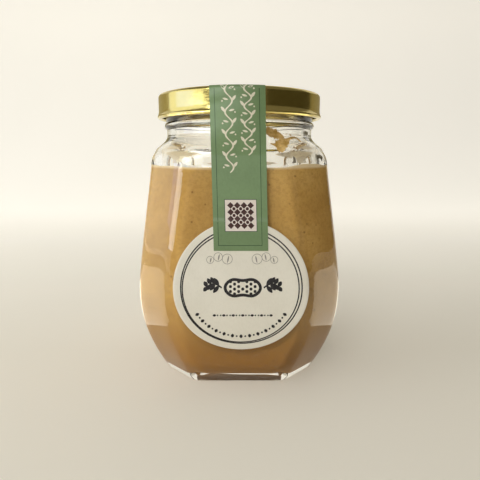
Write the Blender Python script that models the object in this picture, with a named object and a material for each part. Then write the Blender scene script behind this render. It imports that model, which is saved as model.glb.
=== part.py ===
"""A shut jar of peanut butter: chamfered glass jar, filling, gold twist-off lid, seal strip and round label.

Metres, +Z up. The origin is the middle of the foot, where the jar stands. The front faces -Y.
"""

from math import atan, atan2, copysign, cos, dist, pi, radians, sin, sqrt

import bmesh
import bpy

# Clearance between pieces that touch, and paper thickness
GAP = 0.0003
PAPER = 0.00025

# Jar body: a square with cut corners, widest low down and drawn in towards the shoulder
FOOT_HALF = 0.0285
FOOT_FLARE = 0.00883
WIDEST_HALF = 0.03847
WIDEST_Z = 0.036
BELLY_POWER = 2.14
TAPER = 0.1252
TAPER_BEND = 0.005
EDGE_SHARP = 60.0
EDGE_SOFT = 20.0
SOFTENING = (0.083, 0.0885)
HEEL_R = 0.0019
PUSH_UP = 0.0004
PUSH_UP_FLAT_R = 0.017
PUSH_UP_R = 0.0225
WALL = 0.0026
CORNER_WALL = 0.001
FLOOR_Z = 0.0038
INNER_HEEL = 0.006

# Width of the flat faces beside the whole body: widest round the belly, narrower above and at the foot
TOP_SHARE = 0.617
BELLY_SHARE = 0.047
BELLY_SPAN = (0.085, 0.0498)
FOOT_SHARE = 0.0925
FOOT_SPAN = (0.03, 0.0)

# Shoulder, neck and mouth, all round
SHOULDER = (0.0879, 0.0943)
SHOULDER_DROP = 0.001
NECK_R = 0.02935
BEAD_R = 0.0303
BEAD_Z = 0.0979
BEAD_HEIGHT = 0.0026
FINISH_R = 0.0297
MOUTH_Z = 0.1089
LIP_R = 0.0008

# Filling
LEVEL_Z = 0.0828
LEVEL_WAVE = 0.0003
TOP_EDGE = 0.0013
TOP_SHARES = (1.0, 0.93, 0.72, 0.42)

# Lid: a shell with a raised rim round its top and a rolled curl at its hem
LID_R = 0.033
LID_TOP_Z = 0.1099
LID_SKIRT_R = 0.03245
LID_SHELL = 0.0005
LID_CORNER_R = 0.0013
LID_RIM_R = 0.0268
LID_RIM_SLOPE = 0.0006
LID_RECESS = 0.00035
CURL_R = 0.0009
CURL_Z = 0.1014
LID_STEPS = 52

# Round label on the front face
LABEL_R = 0.024
LABEL_X = 0.00065
LABEL_Z = 0.0405
LABEL_STEPS = 40
LABEL_RINGS = (0.25, 0.5, 0.75, 0.87, 0.94, 1.0)

# Seal strip: over the lid and down the front and back faces, a little aslant
STRIP_WIDTH = 0.019
STRIP_END_Z = 0.0539
STRIP_LAND_Z = 0.0866
STRIP_FRONT_X = 0.00063
STRIP_DRIFT = -0.0232
STRIP_LIFT = 0.00055
STRIP_LIFT_Z = (0.0648, 0.0665)
STRIP_COLUMNS = 4
BRIDGE_SHARES = (0.25, 0.5, 0.75)
BRIDGE_EASE = (-0.2, 1.2)

# Mesh columns round the jar: on each flat face, on each cut corner and about each upright edge
EDGE_ANGLE = atan(TOP_SHARE)
FACE_STEP = radians(9.4)
CHAMFER_STEP = radians(4.0)
EDGE_TURNS = [radians(turn) for turn in (-4.0, -1.4, 1.4, 4.0)]


def smooth(value, low, high):
    """Rises from 0 at low to 1 at high, level at both ends."""
    t = min(max((value - low) / (high - low), 0.0), 1.0)
    return t * t * (3 - 2 * t)


def body_half(z):
    """Half the width of the body from face to face at this height."""
    if z < WIDEST_Z:
        return WIDEST_HALF - FOOT_FLARE * ((WIDEST_Z - z) / WIDEST_Z) ** BELLY_POWER
    return WIDEST_HALF - TAPER * (sqrt((z - WIDEST_Z) ** 2 + TAPER_BEND**2) - TAPER_BEND)


def face_share(z):
    """How wide the flat faces are at this height, beside the whole body."""
    return TOP_SHARE + BELLY_SHARE * smooth(z, *BELLY_SPAN) - FOOT_SHARE * smooth(z, *FOOT_SPAN)


def section_radius(angle, half, share, inset, sharp, corner=0.0):
    """From the axis to a square with corners cut, and deeper by corner. A low sharp rounds its edges."""
    total = 0.0
    for side in range(8):
        lean = cos(angle - side * pi / 4)
        reach = (half * (1 + share) / sqrt(2) - corner if side % 2 else half) - inset
        if lean > 0:
            total += (lean * half / reach) ** sharp
    return half * total ** (-1.0 / sharp)


def glass_radius(angle, z, inset=0.0, drop=0.0, corner=0.0):
    """From the axis to the glass, or to a wall inset from it whose shoulder lies lower by drop."""
    softening = smooth(z, *SOFTENING)
    sharp = EDGE_SHARP * (EDGE_SOFT / EDGE_SHARP) ** softening
    body = section_radius(angle, body_half(z), face_share(z), inset, sharp, corner)
    neck = smooth(z + drop, *SHOULDER)
    return body + (NECK_R - inset - body) * neck


def jar_angles():
    """Angles round the jar, close together where its eight upright edges turn."""
    angles = []
    for quarter in range(4):
        start = quarter * pi / 2
        angles += [start + step * FACE_STEP for step in range(-2, 3)]
        angles += [start + pi / 4 - CHAMFER_STEP, start + pi / 4 + CHAMFER_STEP]
        for edge in (EDGE_ANGLE, pi / 2 - EDGE_ANGLE):
            angles += [start + edge + turn for turn in EDGE_TURNS]
    return sorted(angles)


ANGLES = jar_angles()


def leaning(angle, z):
    """One of the jar's angles, moved along with the upright edges, which lean with the faces' width."""
    middle = round(angle / (pi / 2)) * pi / 2
    away = abs(angle - middle)
    edge = atan(face_share(z))
    if away < EDGE_ANGLE:
        moved = away * edge / EDGE_ANGLE
    else:
        moved = pi / 4 - (pi / 4 - away) * (pi / 4 - edge) / (pi / 4 - EDGE_ANGLE)
    return middle + copysign(moved, angle - middle)


def around(count):
    """Each place in a closed loop with the next one."""
    return [(i, (i + 1) % count) for i in range(count)]


def add_ring(bm, radius_at, z):
    """A closed ring of points, one at each of the jar's angles."""
    turns = [leaning(angle, z) for angle in ANGLES]
    return [bm.verts.new((radius_at(turn) * cos(turn), radius_at(turn) * sin(turn), z)) for turn in turns]


def skin(bm, rings):
    """Closes the first ring with a flat face below and joins each ring to the next, as far as the last."""
    bm.faces.new(reversed(rings[0]))
    for low, high in zip(rings, rings[1:]):
        for i, j in around(len(ANGLES)):
            bm.faces.new((low[i], low[j], high[j], high[i]))


def add_finish(obj, colour, roughness, metallic=0.0, transmission=0.0):
    """Gives an object its own material."""
    material = bpy.data.materials.new(obj.name)
    material.use_nodes = True
    shader = material.node_tree.nodes["Principled BSDF"]
    shader.inputs["Base Color"].default_value = (*colour, 1.0)
    shader.inputs["Roughness"].default_value = roughness
    shader.inputs["Metallic"].default_value = metallic
    shader.inputs["Transmission Weight"].default_value = transmission
    obj.data.materials.append(material)


def add_object(name, bm, smooth_below=radians(40)):
    """Turns a finished bmesh into a named object with smooth round faces."""
    mesh = bpy.data.meshes.new(name)
    bm.to_mesh(mesh)
    bm.free()
    mesh.shade_smooth()
    mesh.set_sharp_from_angle(angle=smooth_below)
    obj = bpy.data.objects.new(name, mesh)
    bpy.context.scene.collection.objects.link(obj)
    return obj


def spread(low, high, steps):
    """Evenly spaced values from low to high, both ends included."""
    return [low + (high - low) * k / steps for k in range(steps + 1)]


def underside_rings(bm):
    """The raised round middle of the base, the flat foot round it and the rounded heel."""
    rings = []
    for radius in spread(PUSH_UP_FLAT_R, PUSH_UP_R, 3):
        z = PUSH_UP * (1 - smooth(radius, PUSH_UP_FLAT_R, PUSH_UP_R))
        rings.append(add_ring(bm, lambda a: radius, z))
    for turn in (0.0, radians(20), radians(40), radians(60)):
        half = FOOT_HALF + HEEL_R * sin(turn)
        height = HEEL_R * (1 - cos(turn))
        share = face_share(height)
        rings.append(add_ring(bm, lambda a: section_radius(a, half, share, 0.0, EDGE_SHARP), height))
    return rings


def outer_rings(bm):
    """The outside of the body, shoulder, neck and bead, up to the lip."""
    belly = [0.0032, 0.0065, 0.0105, 0.015, 0.02, 0.0255, 0.031, 0.0365]
    taper = [0.041, 0.048, 0.057, 0.067, 0.076, 0.082, 0.085]
    shoulder = spread(SHOULDER[0] - 0.0007, SHOULDER[1], 8)
    rings = [add_ring(bm, lambda a: glass_radius(a, z), z) for z in belly + taper + shoulder]
    low = BEAD_Z - BEAD_HEIGHT / 2
    for turn in spread(0.0, pi, 6):
        height = low + BEAD_HEIGHT * (1 - cos(turn)) / 2
        radius = NECK_R + (BEAD_R - NECK_R) * sin(turn)
        rings.append(add_ring(bm, lambda a: radius, height))
    rings.append(add_ring(bm, lambda a: FINISH_R, BEAD_Z + BEAD_HEIGHT))
    return rings


def lip_rings(bm):
    """The mouth's rounded outer and inner edges."""
    rings = []
    bore = NECK_R - WALL
    for turn in (0.0, pi / 4, pi / 2):
        radius = FINISH_R - LIP_R * (1 - cos(turn))
        height = MOUTH_Z - LIP_R * (1 - sin(turn))
        rings.append(add_ring(bm, lambda a: radius, height))
    for turn in (pi / 2, pi / 4, 0.0):
        radius = bore + LIP_R * (1 - cos(turn))
        height = MOUTH_Z - LIP_R * (1 - sin(turn))
        rings.append(add_ring(bm, lambda a: radius, height))
    return rings


def hollow_radius(angle, z, inset, floor):
    """The wall of a round-heeled hollow in the glass: inset from its outer face, closed below at floor."""
    rise = min(max((floor + INNER_HEEL - z) / INNER_HEEL, 0.0), 1.0)
    heel = INNER_HEEL * (1 - sqrt(1 - rise**2))
    return glass_radius(angle, z, inset, SHOULDER_DROP, CORNER_WALL) - heel


HEEL_RISES = [0.0, 0.00045, 0.0015, 0.0033]
WALL_HEIGHTS = [0.0098, 0.0145, 0.02, 0.0255, 0.031, 0.0365, 0.044, 0.055, 0.068]


def inner_rings(bm):
    """The inside of the jar, from under the lip down to the floor."""
    neck = [SHOULDER[1] + 0.002]
    shoulder = spread(SHOULDER[0] - 0.002, SHOULDER[1] - SHOULDER_DROP, 7)
    floor = [FLOOR_Z + rise for rise in HEEL_RISES]
    heights = floor + WALL_HEIGHTS + [0.082] + shoulder + neck
    return [add_ring(bm, lambda a: hollow_radius(a, z, WALL, FLOOR_Z), z) for z in reversed(heights)]


def make_glass_jar():
    bm = bmesh.new()
    rings = underside_rings(bm) + outer_rings(bm) + lip_rings(bm) + inner_rings(bm)
    skin(bm, rings)
    bm.faces.new(rings[-1])
    obj = add_object("glass_jar", bm)
    add_finish(obj, (0.86, 0.89, 0.85), 0.03, transmission=1.0)


def level_wave(x, y):
    """The slight unevenness of the settled top."""
    return LEVEL_WAVE * (sin(150 * x + 0.7) * cos(120 * y - 0.4) + 0.5 * sin(210 * y + 95 * x))


def make_peanut_butter():
    bm = bmesh.new()
    inset = WALL + GAP
    floor = FLOOR_Z + GAP
    sides = [floor + rise for rise in HEEL_RISES] + WALL_HEIGHTS + [LEVEL_Z - TOP_EDGE]
    rings = [add_ring(bm, lambda a: hollow_radius(a, z, inset, floor), z) for z in sides]
    top = []
    for share in TOP_SHARES:
        top.append(add_ring(bm, lambda a: share * hollow_radius(a, LEVEL_Z, inset, floor), LEVEL_Z))
    skin(bm, rings + top)
    centre = bm.verts.new((0.0, 0.0, LEVEL_Z))
    for i, j in around(len(ANGLES)):
        bm.faces.new((top[-1][i], top[-1][j], centre))
    for point in sum(top, [centre]):
        point.co.z += level_wave(point.co.x, point.co.y)
    obj = add_object("peanut_butter", bm)
    add_finish(obj, (0.47, 0.27, 0.09), 0.55)


def arc(centre_r, centre_z, radius, start, end, steps):
    """Points of a circular arc in the profile's plane, as radius from the axis and height."""
    turns = spread(radians(start), radians(end), steps)
    return [(centre_r + radius * cos(t), centre_z + radius * sin(t)) for t in turns]


def lid_profile():
    """Half the lid's section: over the top and down the skirt, round the curl and back up the inside."""
    top = LID_TOP_Z
    recess = top - LID_RECESS
    inner_r = LID_SKIRT_R - LID_SHELL
    curl_r = LID_R - CURL_R
    points = [(0.0, recess), (LID_RIM_R - LID_RIM_SLOPE, recess), (LID_RIM_R, top)]
    points += arc(LID_SKIRT_R - LID_CORNER_R, top - LID_CORNER_R, LID_CORNER_R, 90, 0, 4)
    points += arc(curl_r, CURL_Z, CURL_R, 60, -210, 9)
    points.append((inner_r, CURL_Z + CURL_R))
    corner = LID_CORNER_R - LID_SHELL
    points += arc(inner_r - corner, top - LID_SHELL - corner, corner, 0, 90, 2)
    inner_rim = LID_RIM_R - LID_SHELL
    points += [(inner_rim, top - LID_SHELL), (inner_rim - LID_RIM_SLOPE, recess - LID_SHELL)]
    points.append((0.0, recess - LID_SHELL))
    return points


def make_lid():
    mesh = bpy.data.meshes.new("lid")
    points = lid_profile()
    edges = [(k, k + 1) for k in range(len(points) - 1)]
    mesh.from_pydata([(r, 0.0, z) for r, z in points], edges, [])
    obj = bpy.data.objects.new("lid", mesh)
    bpy.context.scene.collection.objects.link(obj)
    turned = obj.modifiers.new("turned", "SCREW")
    turned.steps = LID_STEPS
    turned.render_steps = LID_STEPS
    turned.use_merge_vertices = True
    turned.merge_threshold = 0.00001
    turned.use_smooth_shade = True
    add_finish(obj, (0.78, 0.60, 0.22), 0.22, metallic=1.0)


def face_y(x, z, offset):
    """How far the front face stands forward of the axis at this place, with a sheet offset from it."""
    angle = atan2(x, body_half(z))
    for _ in range(4):
        radius = glass_radius(angle, z, -offset)
        angle = atan2(x, sqrt(radius**2 - x**2))
    return sqrt(radius**2 - x**2)


def thicken(obj):
    """Gives a sheet of paper its thickness on the side that its faces point to."""
    solid = obj.modifiers.new("paper", "SOLIDIFY")
    solid.thickness = PAPER
    solid.offset = 1.0
    solid.use_even_offset = True


def make_round_label():
    bm = bmesh.new()
    centre = bm.verts.new((LABEL_X, -face_y(LABEL_X, LABEL_Z, GAP), LABEL_Z))
    inner = None
    for share in LABEL_RINGS:
        ring = []
        for turn in spread(0.0, 2 * pi, LABEL_STEPS)[:-1]:
            x = LABEL_X + share * LABEL_R * cos(turn)
            z = LABEL_Z + share * LABEL_R * sin(turn)
            ring.append(bm.verts.new((x, -face_y(x, z, GAP), z)))
        for i, j in around(LABEL_STEPS):
            bm.faces.new((inner[i], ring[i], ring[j], inner[j]) if inner else (centre, ring[i], ring[j]))
        inner = ring
    obj = add_object("round_label", bm)
    thicken(obj)
    add_finish(obj, (0.80, 0.77, 0.69), 0.6)


def strip_half(x, lift):
    """The strip's run at this x, from the lid's centre to its end, as (y, z). The end stands off by lift."""
    top = LID_TOP_Z + GAP
    corner = LID_CORNER_R + GAP
    rim = sqrt((LID_SKIRT_R + GAP) ** 2 - x**2)
    curl = sqrt((LID_R + GAP) ** 2 - x**2)
    run = [(y, top) for y in spread(0.0, rim - corner, 4)[:-1]]
    run += arc(rim - corner, top - corner, corner, 90, 10, 4)
    run.append(((rim + curl) / 2, (top - corner + CURL_Z) / 2))
    run += [(curl, CURL_Z + CURL_R / 2), (curl, CURL_Z - CURL_R)]
    land = body_half(STRIP_LAND_Z) + GAP
    hem = CURL_Z - CURL_R
    for share in BRIDGE_SHARES:
        y = curl + (land - curl) * smooth(share, *BRIDGE_EASE)
        run.append((y, hem + (STRIP_LAND_Z - hem) * share))
    for z in spread(STRIP_LAND_Z, STRIP_LIFT_Z[1], 4) + spread(STRIP_LIFT_Z[0], STRIP_END_Z, 3):
        raised = lift * smooth(-z, -STRIP_LIFT_Z[1], -STRIP_LIFT_Z[0])
        run.append((body_half(z) + GAP + raised, z))
    return run


def make_seal_strip():
    bm = bmesh.new()
    middle = strip_half(0.0, 0.0)
    stations = [(-1, k) for k in reversed(range(len(middle)))]
    stations += [(1, k) for k in range(1, len(middle))]
    sheet = []
    travelled = 0.0
    before = (-middle[-1][0], middle[-1][1])
    for side, k in stations:
        here = (side * middle[k][0], middle[k][1])
        travelled += dist(here, before)
        before = here
        shift = STRIP_FRONT_X + STRIP_DRIFT * travelled
        row = []
        for x in spread(shift - STRIP_WIDTH / 2, shift + STRIP_WIDTH / 2, STRIP_COLUMNS):
            y, z = strip_half(x, STRIP_LIFT if side < 0 else 0.0)[k]
            row.append(bm.verts.new((x, side * y, z)))
        sheet.append(row)
    for low, high in zip(sheet, sheet[1:]):
        for i in range(STRIP_COLUMNS):
            bm.faces.new((low[i], low[i + 1], high[i + 1], high[i]))
    obj = add_object("seal_strip", bm)
    thicken(obj)
    add_finish(obj, (0.15, 0.27, 0.12), 0.5)


def main():
    for old in list(bpy.data.objects):
        bpy.data.objects.remove(old)
    make_glass_jar()
    make_peanut_butter()
    make_lid()
    make_seal_strip()
    make_round_label()


main()
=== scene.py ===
from math import atan2, copysign, cos, dist, exp, hypot, pi, radians, sin, sqrt

import bpy
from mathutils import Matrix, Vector, noise


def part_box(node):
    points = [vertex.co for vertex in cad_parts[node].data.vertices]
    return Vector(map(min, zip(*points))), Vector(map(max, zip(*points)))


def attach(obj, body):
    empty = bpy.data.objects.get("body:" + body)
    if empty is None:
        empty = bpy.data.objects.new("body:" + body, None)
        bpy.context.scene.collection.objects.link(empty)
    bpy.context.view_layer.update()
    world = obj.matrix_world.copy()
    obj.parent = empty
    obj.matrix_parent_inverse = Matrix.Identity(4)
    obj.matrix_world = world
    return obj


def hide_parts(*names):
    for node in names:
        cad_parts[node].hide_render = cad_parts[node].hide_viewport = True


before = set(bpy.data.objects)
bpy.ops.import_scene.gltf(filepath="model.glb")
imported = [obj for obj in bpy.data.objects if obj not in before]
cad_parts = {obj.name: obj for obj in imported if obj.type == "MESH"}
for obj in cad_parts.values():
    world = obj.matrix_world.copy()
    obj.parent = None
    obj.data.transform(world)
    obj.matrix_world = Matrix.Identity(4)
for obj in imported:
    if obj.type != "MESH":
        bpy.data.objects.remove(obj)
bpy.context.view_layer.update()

# Sizes of the jar, as its solids have them, in metres
WIDEST_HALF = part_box("glass_jar")[1].x
MOUTH_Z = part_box("glass_jar")[1].z
LID_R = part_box("lid")[1].x
LID_TOP_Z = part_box("lid")[1].z
FOOT_HALF = 0.0285
FOOT_FLARE = 0.00883
WIDEST_Z = 0.036
BELLY_POWER = 2.14
TAPER = 0.1252
TAPER_BEND = 0.005
TOP_SHARE = 0.617
BELLY_SHARE = 0.047
BELLY_SPAN = (0.085, 0.0498)
FOOT_SHARE = 0.0925
FOOT_SPAN = (0.03, 0.0)
BEVEL_CUT = 0.00056
EDGE_SHARP = 260.0
EDGE_SOFT = 22.0
INNER_SHARP = 150.0
CORNER_WALL = 0.0015
SOFTENING = (0.083, 0.0885)
INNER_SOFTENING = (0.076, 0.0835)
HEEL_R = 0.0019
PUSH_UP = 0.0004
PUSH_UP_FLAT_R = 0.017
PUSH_UP_R = 0.0225
WALL = 0.0026
FLOOR_Z = 0.0038
INNER_HEEL = 0.006
SHOULDER = (0.0879, 0.0943)
SHOULDER_DROP = 0.001
NECK_R = 0.02935
BEAD_R = 0.0303
BEAD_Z = 0.0979
BEAD_HEIGHT = 0.0026
FINISH_R = 0.0297
LIP_R = 0.0008
LEVEL_Z = 0.0826

# How far a piece that fills or sticks to another reaches into it, so that no air shows between them
SINK = 0.00015
PAPER_SINK = 0.00003

EDGE_TURN = atan2(TOP_SHARE, 1.0)


def smooth(value, low, high):
    """Rises from 0 at low to 1 at high, level at both ends."""
    t = min(max((value - low) / (high - low), 0.0), 1.0)
    return t * t * (3 - 2 * t)


def spread(low, high, steps):
    """Evenly spaced values from low to high, both ends included."""
    return [low + (high - low) * k / steps for k in range(steps + 1)]


def around(count):
    """Each place in a closed loop with the next one."""
    return [(i, (i + 1) % count) for i in range(count)]


def face_turns():
    """Angles across one face, from the middle of a cut corner to the next, closest near its two edges."""
    edge = EDGE_TURN
    side = spread(-pi / 4, -edge - 0.04, 4)[:-1] + spread(-edge - 0.04, -edge + 0.2, 34)[:-1]
    return side + spread(-edge + 0.2, edge - 0.2, 12) + [-turn for turn in reversed(side)][:-1]


TURNS = [turn + quarter * pi / 2 for quarter in range(4) for turn in face_turns()]
ROUND_STEPS = len(TURNS)


# Camera, floor, backdrop and light

CAMERA_DISTANCE = 0.185
CAMERA_HEIGHT = 0.08699
CAMERA_PITCH = radians(11.178)
FOCAL_PIXELS = 434.57
FRAME_PIXELS = 480
AXIS_PIXEL = 239.2
SENSOR = 36.0


def add_camera():
    """The photograph's viewpoint: close to the jar, level with its shoulder and looking a little down."""
    lens = bpy.data.cameras.new("camera")
    lens.sensor_width = SENSOR
    lens.lens = FOCAL_PIXELS / FRAME_PIXELS * SENSOR
    lens.shift_x = (FRAME_PIXELS / 2 - AXIS_PIXEL) / FRAME_PIXELS
    lens.clip_start = 0.01
    obj = bpy.data.objects.new("camera", lens)
    obj.location = (0.0, -CAMERA_DISTANCE, CAMERA_HEIGHT)
    obj.rotation_euler = (pi / 2 - CAMERA_PITCH, 0.0, 0.0)
    bpy.context.scene.collection.objects.link(obj)
    bpy.context.scene.camera = obj


SEEN_BY_ALL = ("matt", "gloss", "through")


def add_soft_light(name, place, aim, size, power, colour, seen=SEEN_BY_ALL):
    """A rectangle of light that faces aim. It can be kept to matt surfaces, gloss or what glass covers."""
    lamp = bpy.data.lights.new(name, "AREA")
    lamp.shape = "RECTANGLE"
    lamp.size, lamp.size_y = size
    lamp.energy = power
    lamp.color = colour
    obj = bpy.data.objects.new(name, lamp)
    obj.visible_diffuse = "matt" in seen
    obj.visible_glossy = "gloss" in seen
    obj.visible_transmission = "through" in seen
    obj.location = place
    obj.rotation_euler = (Vector(aim) - Vector(place)).to_track_quat("-Z", "Y").to_euler()
    bpy.context.scene.collection.objects.link(obj)


# Finishes


class Field:
    """A number that varies over a surface: a shader socket that takes part in Python sums."""

    def __init__(self, finish, socket):
        self.finish = finish
        self.socket = socket

    def __add__(self, other):
        return self.finish.maths("ADD", self, other)

    def __radd__(self, other):
        return self.finish.maths("ADD", other, self)

    def __sub__(self, other):
        return self.finish.maths("SUBTRACT", self, other)

    def __rsub__(self, other):
        return self.finish.maths("SUBTRACT", other, self)

    def __mul__(self, other):
        return self.finish.maths("MULTIPLY", self, other)

    def __rmul__(self, other):
        return self.finish.maths("MULTIPLY", other, self)


class Finish:
    """One material. Its shader's constant sockets are set by name; nodes vary the rest."""

    def __init__(self, name, **constants):
        self.material = bpy.data.materials.new(name)
        self.material.use_nodes = True
        self.tree = self.material.node_tree
        self.shader = self.tree.nodes["Principled BSDF"]
        for socket, value in constants.items():
            self.shader.inputs[socket.replace("_", " ")].default_value = value
        self.place = self.node("ShaderNodeTexCoord", output="Object")

    def feed(self, socket, value):
        if isinstance(value, Field):
            self.tree.links.new(value.socket, socket)
        else:
            socket.default_value = value

    def node(self, kind, settings=None, values=None, output=0):
        """Adds a node: its type, its settings, the values or links of its sockets, and the output wanted."""
        made = self.tree.nodes.new(kind)
        for name, value in (settings or {}).items():
            if name == "stops":
                self.set_stops(made.color_ramp, value)
            else:
                setattr(made, name, value)
        for name, value in (values or {}).items():
            self.feed(made.inputs[name], value)
        return Field(self, made.outputs[output])

    def set_stops(self, ramp, stops):
        while len(ramp.elements) < len(stops):
            ramp.elements.new(0.5)
        for element, (position, colour) in zip(ramp.elements, stops):
            element.position = position
            element.color = (*colour, 1.0)

    def maths(self, operation, first, second):
        return self.node("ShaderNodeMath", {"operation": operation}, {0: first, 1: second})

    def noise(self, scale, detail=3.0, rough=0.55, place=None):
        values = {"Vector": place or self.place, "Scale": scale, "Detail": detail, "Roughness": rough}
        return self.node("ShaderNodeTexNoise", None, values)

    def specks(self, scale):
        """The distance from scattered points, in cells."""
        return self.node("ShaderNodeTexVoronoi", None, {"Vector": self.place, "Scale": scale})

    def stretched(self, x, y, z):
        """Object coordinates scaled along each axis."""
        return self.node("ShaderNodeVectorMath", {"operation": "MULTIPLY"}, {0: self.place, 1: (x, y, z)})

    def along(self, axis):
        """One of the object's coordinates, X, Y or Z."""
        return self.node("ShaderNodeSeparateXYZ", None, {0: self.place}, output=axis)

    def ramp(self, value, *stops):
        return self.node("ShaderNodeValToRGB", {"stops": stops}, {"Fac": value})

    def level(self, value, low, high, start=0.0, end=1.0):
        """Start below low, end above high and a smooth change between."""
        values = {"Value": value, "From Min": low, "From Max": high, "To Min": start, "To Max": end}
        return self.node("ShaderNodeMapRange", {"interpolation_type": "SMOOTHSTEP"}, values)

    def mix(self, share, first, second):
        """Two colours mixed."""
        return self.node("ShaderNodeMix", {"data_type": "RGBA"}, {0: share, 6: first, 7: second}, output=2)

    def bump(self, height, distance, strength=1.0):
        values = {"Height": height, "Distance": distance, "Strength": strength}
        self.feed(self.shader.inputs["Normal"], self.node("ShaderNodeBump", None, values))

    def colour(self, value):
        self.feed(self.shader.inputs["Base Color"], value)

    def roughness(self, value):
        self.feed(self.shader.inputs["Roughness"], value)


def rgb(red, green, blue):
    return (red, green, blue, 1.0)


def clear_glass():
    """Clear moulded glass with a light shadow."""
    glass = Finish("clear_glass", Transmission_Weight=1.0, IOR=1.5)
    glass.colour(rgb(0.985, 0.98, 0.955))
    fingers = glass.noise(55.0, 4.0, 0.6)
    glass.roughness(glass.level(fingers, 0.45, 0.8, 0.0, 0.05))
    glass.bump(glass.noise(28.0, 2.0), 0.0006, 0.35)
    is_shadow = glass.node("ShaderNodeLightPath", output="Is Shadow Ray")
    see_through = glass.node("ShaderNodeBsdfTransparent", None, {"Color": rgb(0.93, 0.94, 0.92)})
    surface = Field(glass, glass.shader.outputs[0])
    both = glass.node("ShaderNodeMixShader", None, {0: is_shadow, 1: surface, 2: see_through})
    glass.feed(glass.tree.nodes["Material Output"].inputs["Surface"], both)
    return glass


def nut_paste():
    """Peanut butter: tan with soft mottling and fine dark flecks of skin. Its colour is darkened towards the
    bottom as painted shade, and its top is paled as a painted sheen.
    """
    paste = Finish("peanut_butter", Specular_IOR_Level=0.1)
    cloud = paste.noise(42.0, 5.0, 0.6)
    deep, tan, pale = (0.44, 0.252, 0.064), (0.55, 0.328, 0.09), (0.64, 0.40, 0.127)
    base = paste.ramp(cloud, (0.3, deep), (0.5, tan), (0.72, pale))
    # Painted shade: the paste's colour is darkened towards the bottom of the jar.
    low_painted_shade = paste.mix(1 - paste.level(paste.along("Z"), 0.008, 0.042), base, rgb(0.35, 0.155, 0.018))
    fine = paste.noise(900.0, 3.0, 0.7)
    grain = paste.mix(paste.level(fine, 0.4, 0.7, 0.0, 0.42), low_painted_shade, rgb(0.34, 0.175, 0.048))
    near = paste.specks(300.0)
    some = paste.noise(120.0, 1.0)
    fleck = (1 - paste.level(near, 0.06, 0.17)) * paste.level(some, 0.46, 0.56)
    dotted = paste.mix(fleck * 0.6, grain, rgb(0.13, 0.055, 0.02))
    # Painted sheen: the paste's top is mixed towards pale cream as if lit at a grazing angle. The same mask
    # also makes the top glossier.
    oil_gloss_and_painted_sheen = paste.level(paste.along("Z"), LEVEL_Z - 0.0014, LEVEL_Z - 0.0002)
    paste.colour(paste.mix(oil_gloss_and_painted_sheen * 0.85, dotted, rgb(0.83, 0.69, 0.46)))
    paste.roughness(paste.level(cloud, 0.3, 0.7, 0.42, 0.6) - oil_gloss_and_painted_sheen * 0.22)
    paste.bump(paste.noise(260.0, 4.0, 0.6), 0.0004, 0.5)
    return paste


def thin_paste_painted_glow():
    """The filling where it is spread thin on the glass. It glows a little: painted light that stands in for
    light coming through it.
    """
    # Painted light: the thin paste glows a little of its own.
    glow = rgb(0.72, 0.44, 0.12)
    thin = Finish("thin_paste_painted_glow", Specular_IOR_Level=0.25, Emission_Strength=0.12, Emission_Color=glow)
    streaks = thin.noise(420.0, 4.0, 0.7)
    thin.colour(thin.mix(thin.level(streaks, 0.36, 0.64), rgb(0.42, 0.25, 0.06), rgb(0.68, 0.47, 0.19)))
    thin.roughness(thin.level(streaks, 0.3, 0.7, 0.4, 0.6))
    thin.bump(streaks, 0.0003, 0.6)
    return thin


def gold_tinplate():
    """Glossy gold lacquer over tinplate, with faint rolling marks, handling and a lighter worn hem."""
    gold = Finish("gold_tinplate", Metallic=1.0, Coat_Weight=0.35, Coat_Roughness=0.06)
    cloud = gold.noise(60.0, 4.0, 0.6)
    base = gold.mix(gold.level(cloud, 0.35, 0.7), rgb(0.61, 0.497, 0.155), rgb(0.665, 0.552, 0.19))
    hem = 1 - gold.level(gold.along("Z"), 0.1006, 0.1022)
    worn = hem * gold.level(gold.noise(420.0, 3.0, 0.7), 0.5, 0.66)
    gold.colour(gold.mix(worn * 0.6, base, rgb(0.86, 0.78, 0.58)))
    marks = gold.noise(300.0, 3.0, 0.6, gold.stretched(1.0, 1.0, 9.0))
    gold.roughness(gold.level(marks, 0.3, 0.75, 0.13, 0.24) + worn * 0.12)
    gold.bump(gold.noise(170.0, 3.0), 0.0003, 0.18)
    return gold


def paper(name, light, dark, gloss):
    """Printed paper: fine fibres, a slightly uneven tone and a soft sheen."""
    sheet = Finish(name, Specular_IOR_Level=0.4)
    tone = sheet.noise(70.0, 4.0, 0.6)
    fibres = sheet.noise(1500.0, 4.0, 0.75, sheet.stretched(1.0, 1.0, 0.55))
    shade = sheet.level(tone, 0.3, 0.7, 0.0, 0.6) + sheet.level(fibres, 0.4, 0.7, 0.0, 0.4)
    sheet.colour(sheet.mix(shade, light, dark))
    sheet.roughness(sheet.level(fibres, 0.3, 0.7, gloss, gloss + 0.15))
    sheet.bump(fibres, 0.00006, 0.5)
    return sheet


def ink(name, solid, faded):
    """Print on paper: a solid colour that thins out here and there."""
    print_ = Finish(name, Specular_IOR_Level=0.35)
    thin = print_.noise(1100.0, 3.0, 0.7)
    print_.colour(print_.mix(print_.level(thin, 0.45, 0.75, 0.0, 0.7), solid, faded))
    print_.roughness(print_.level(thin, 0.3, 0.7, 0.42, 0.6))
    return print_


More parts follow.
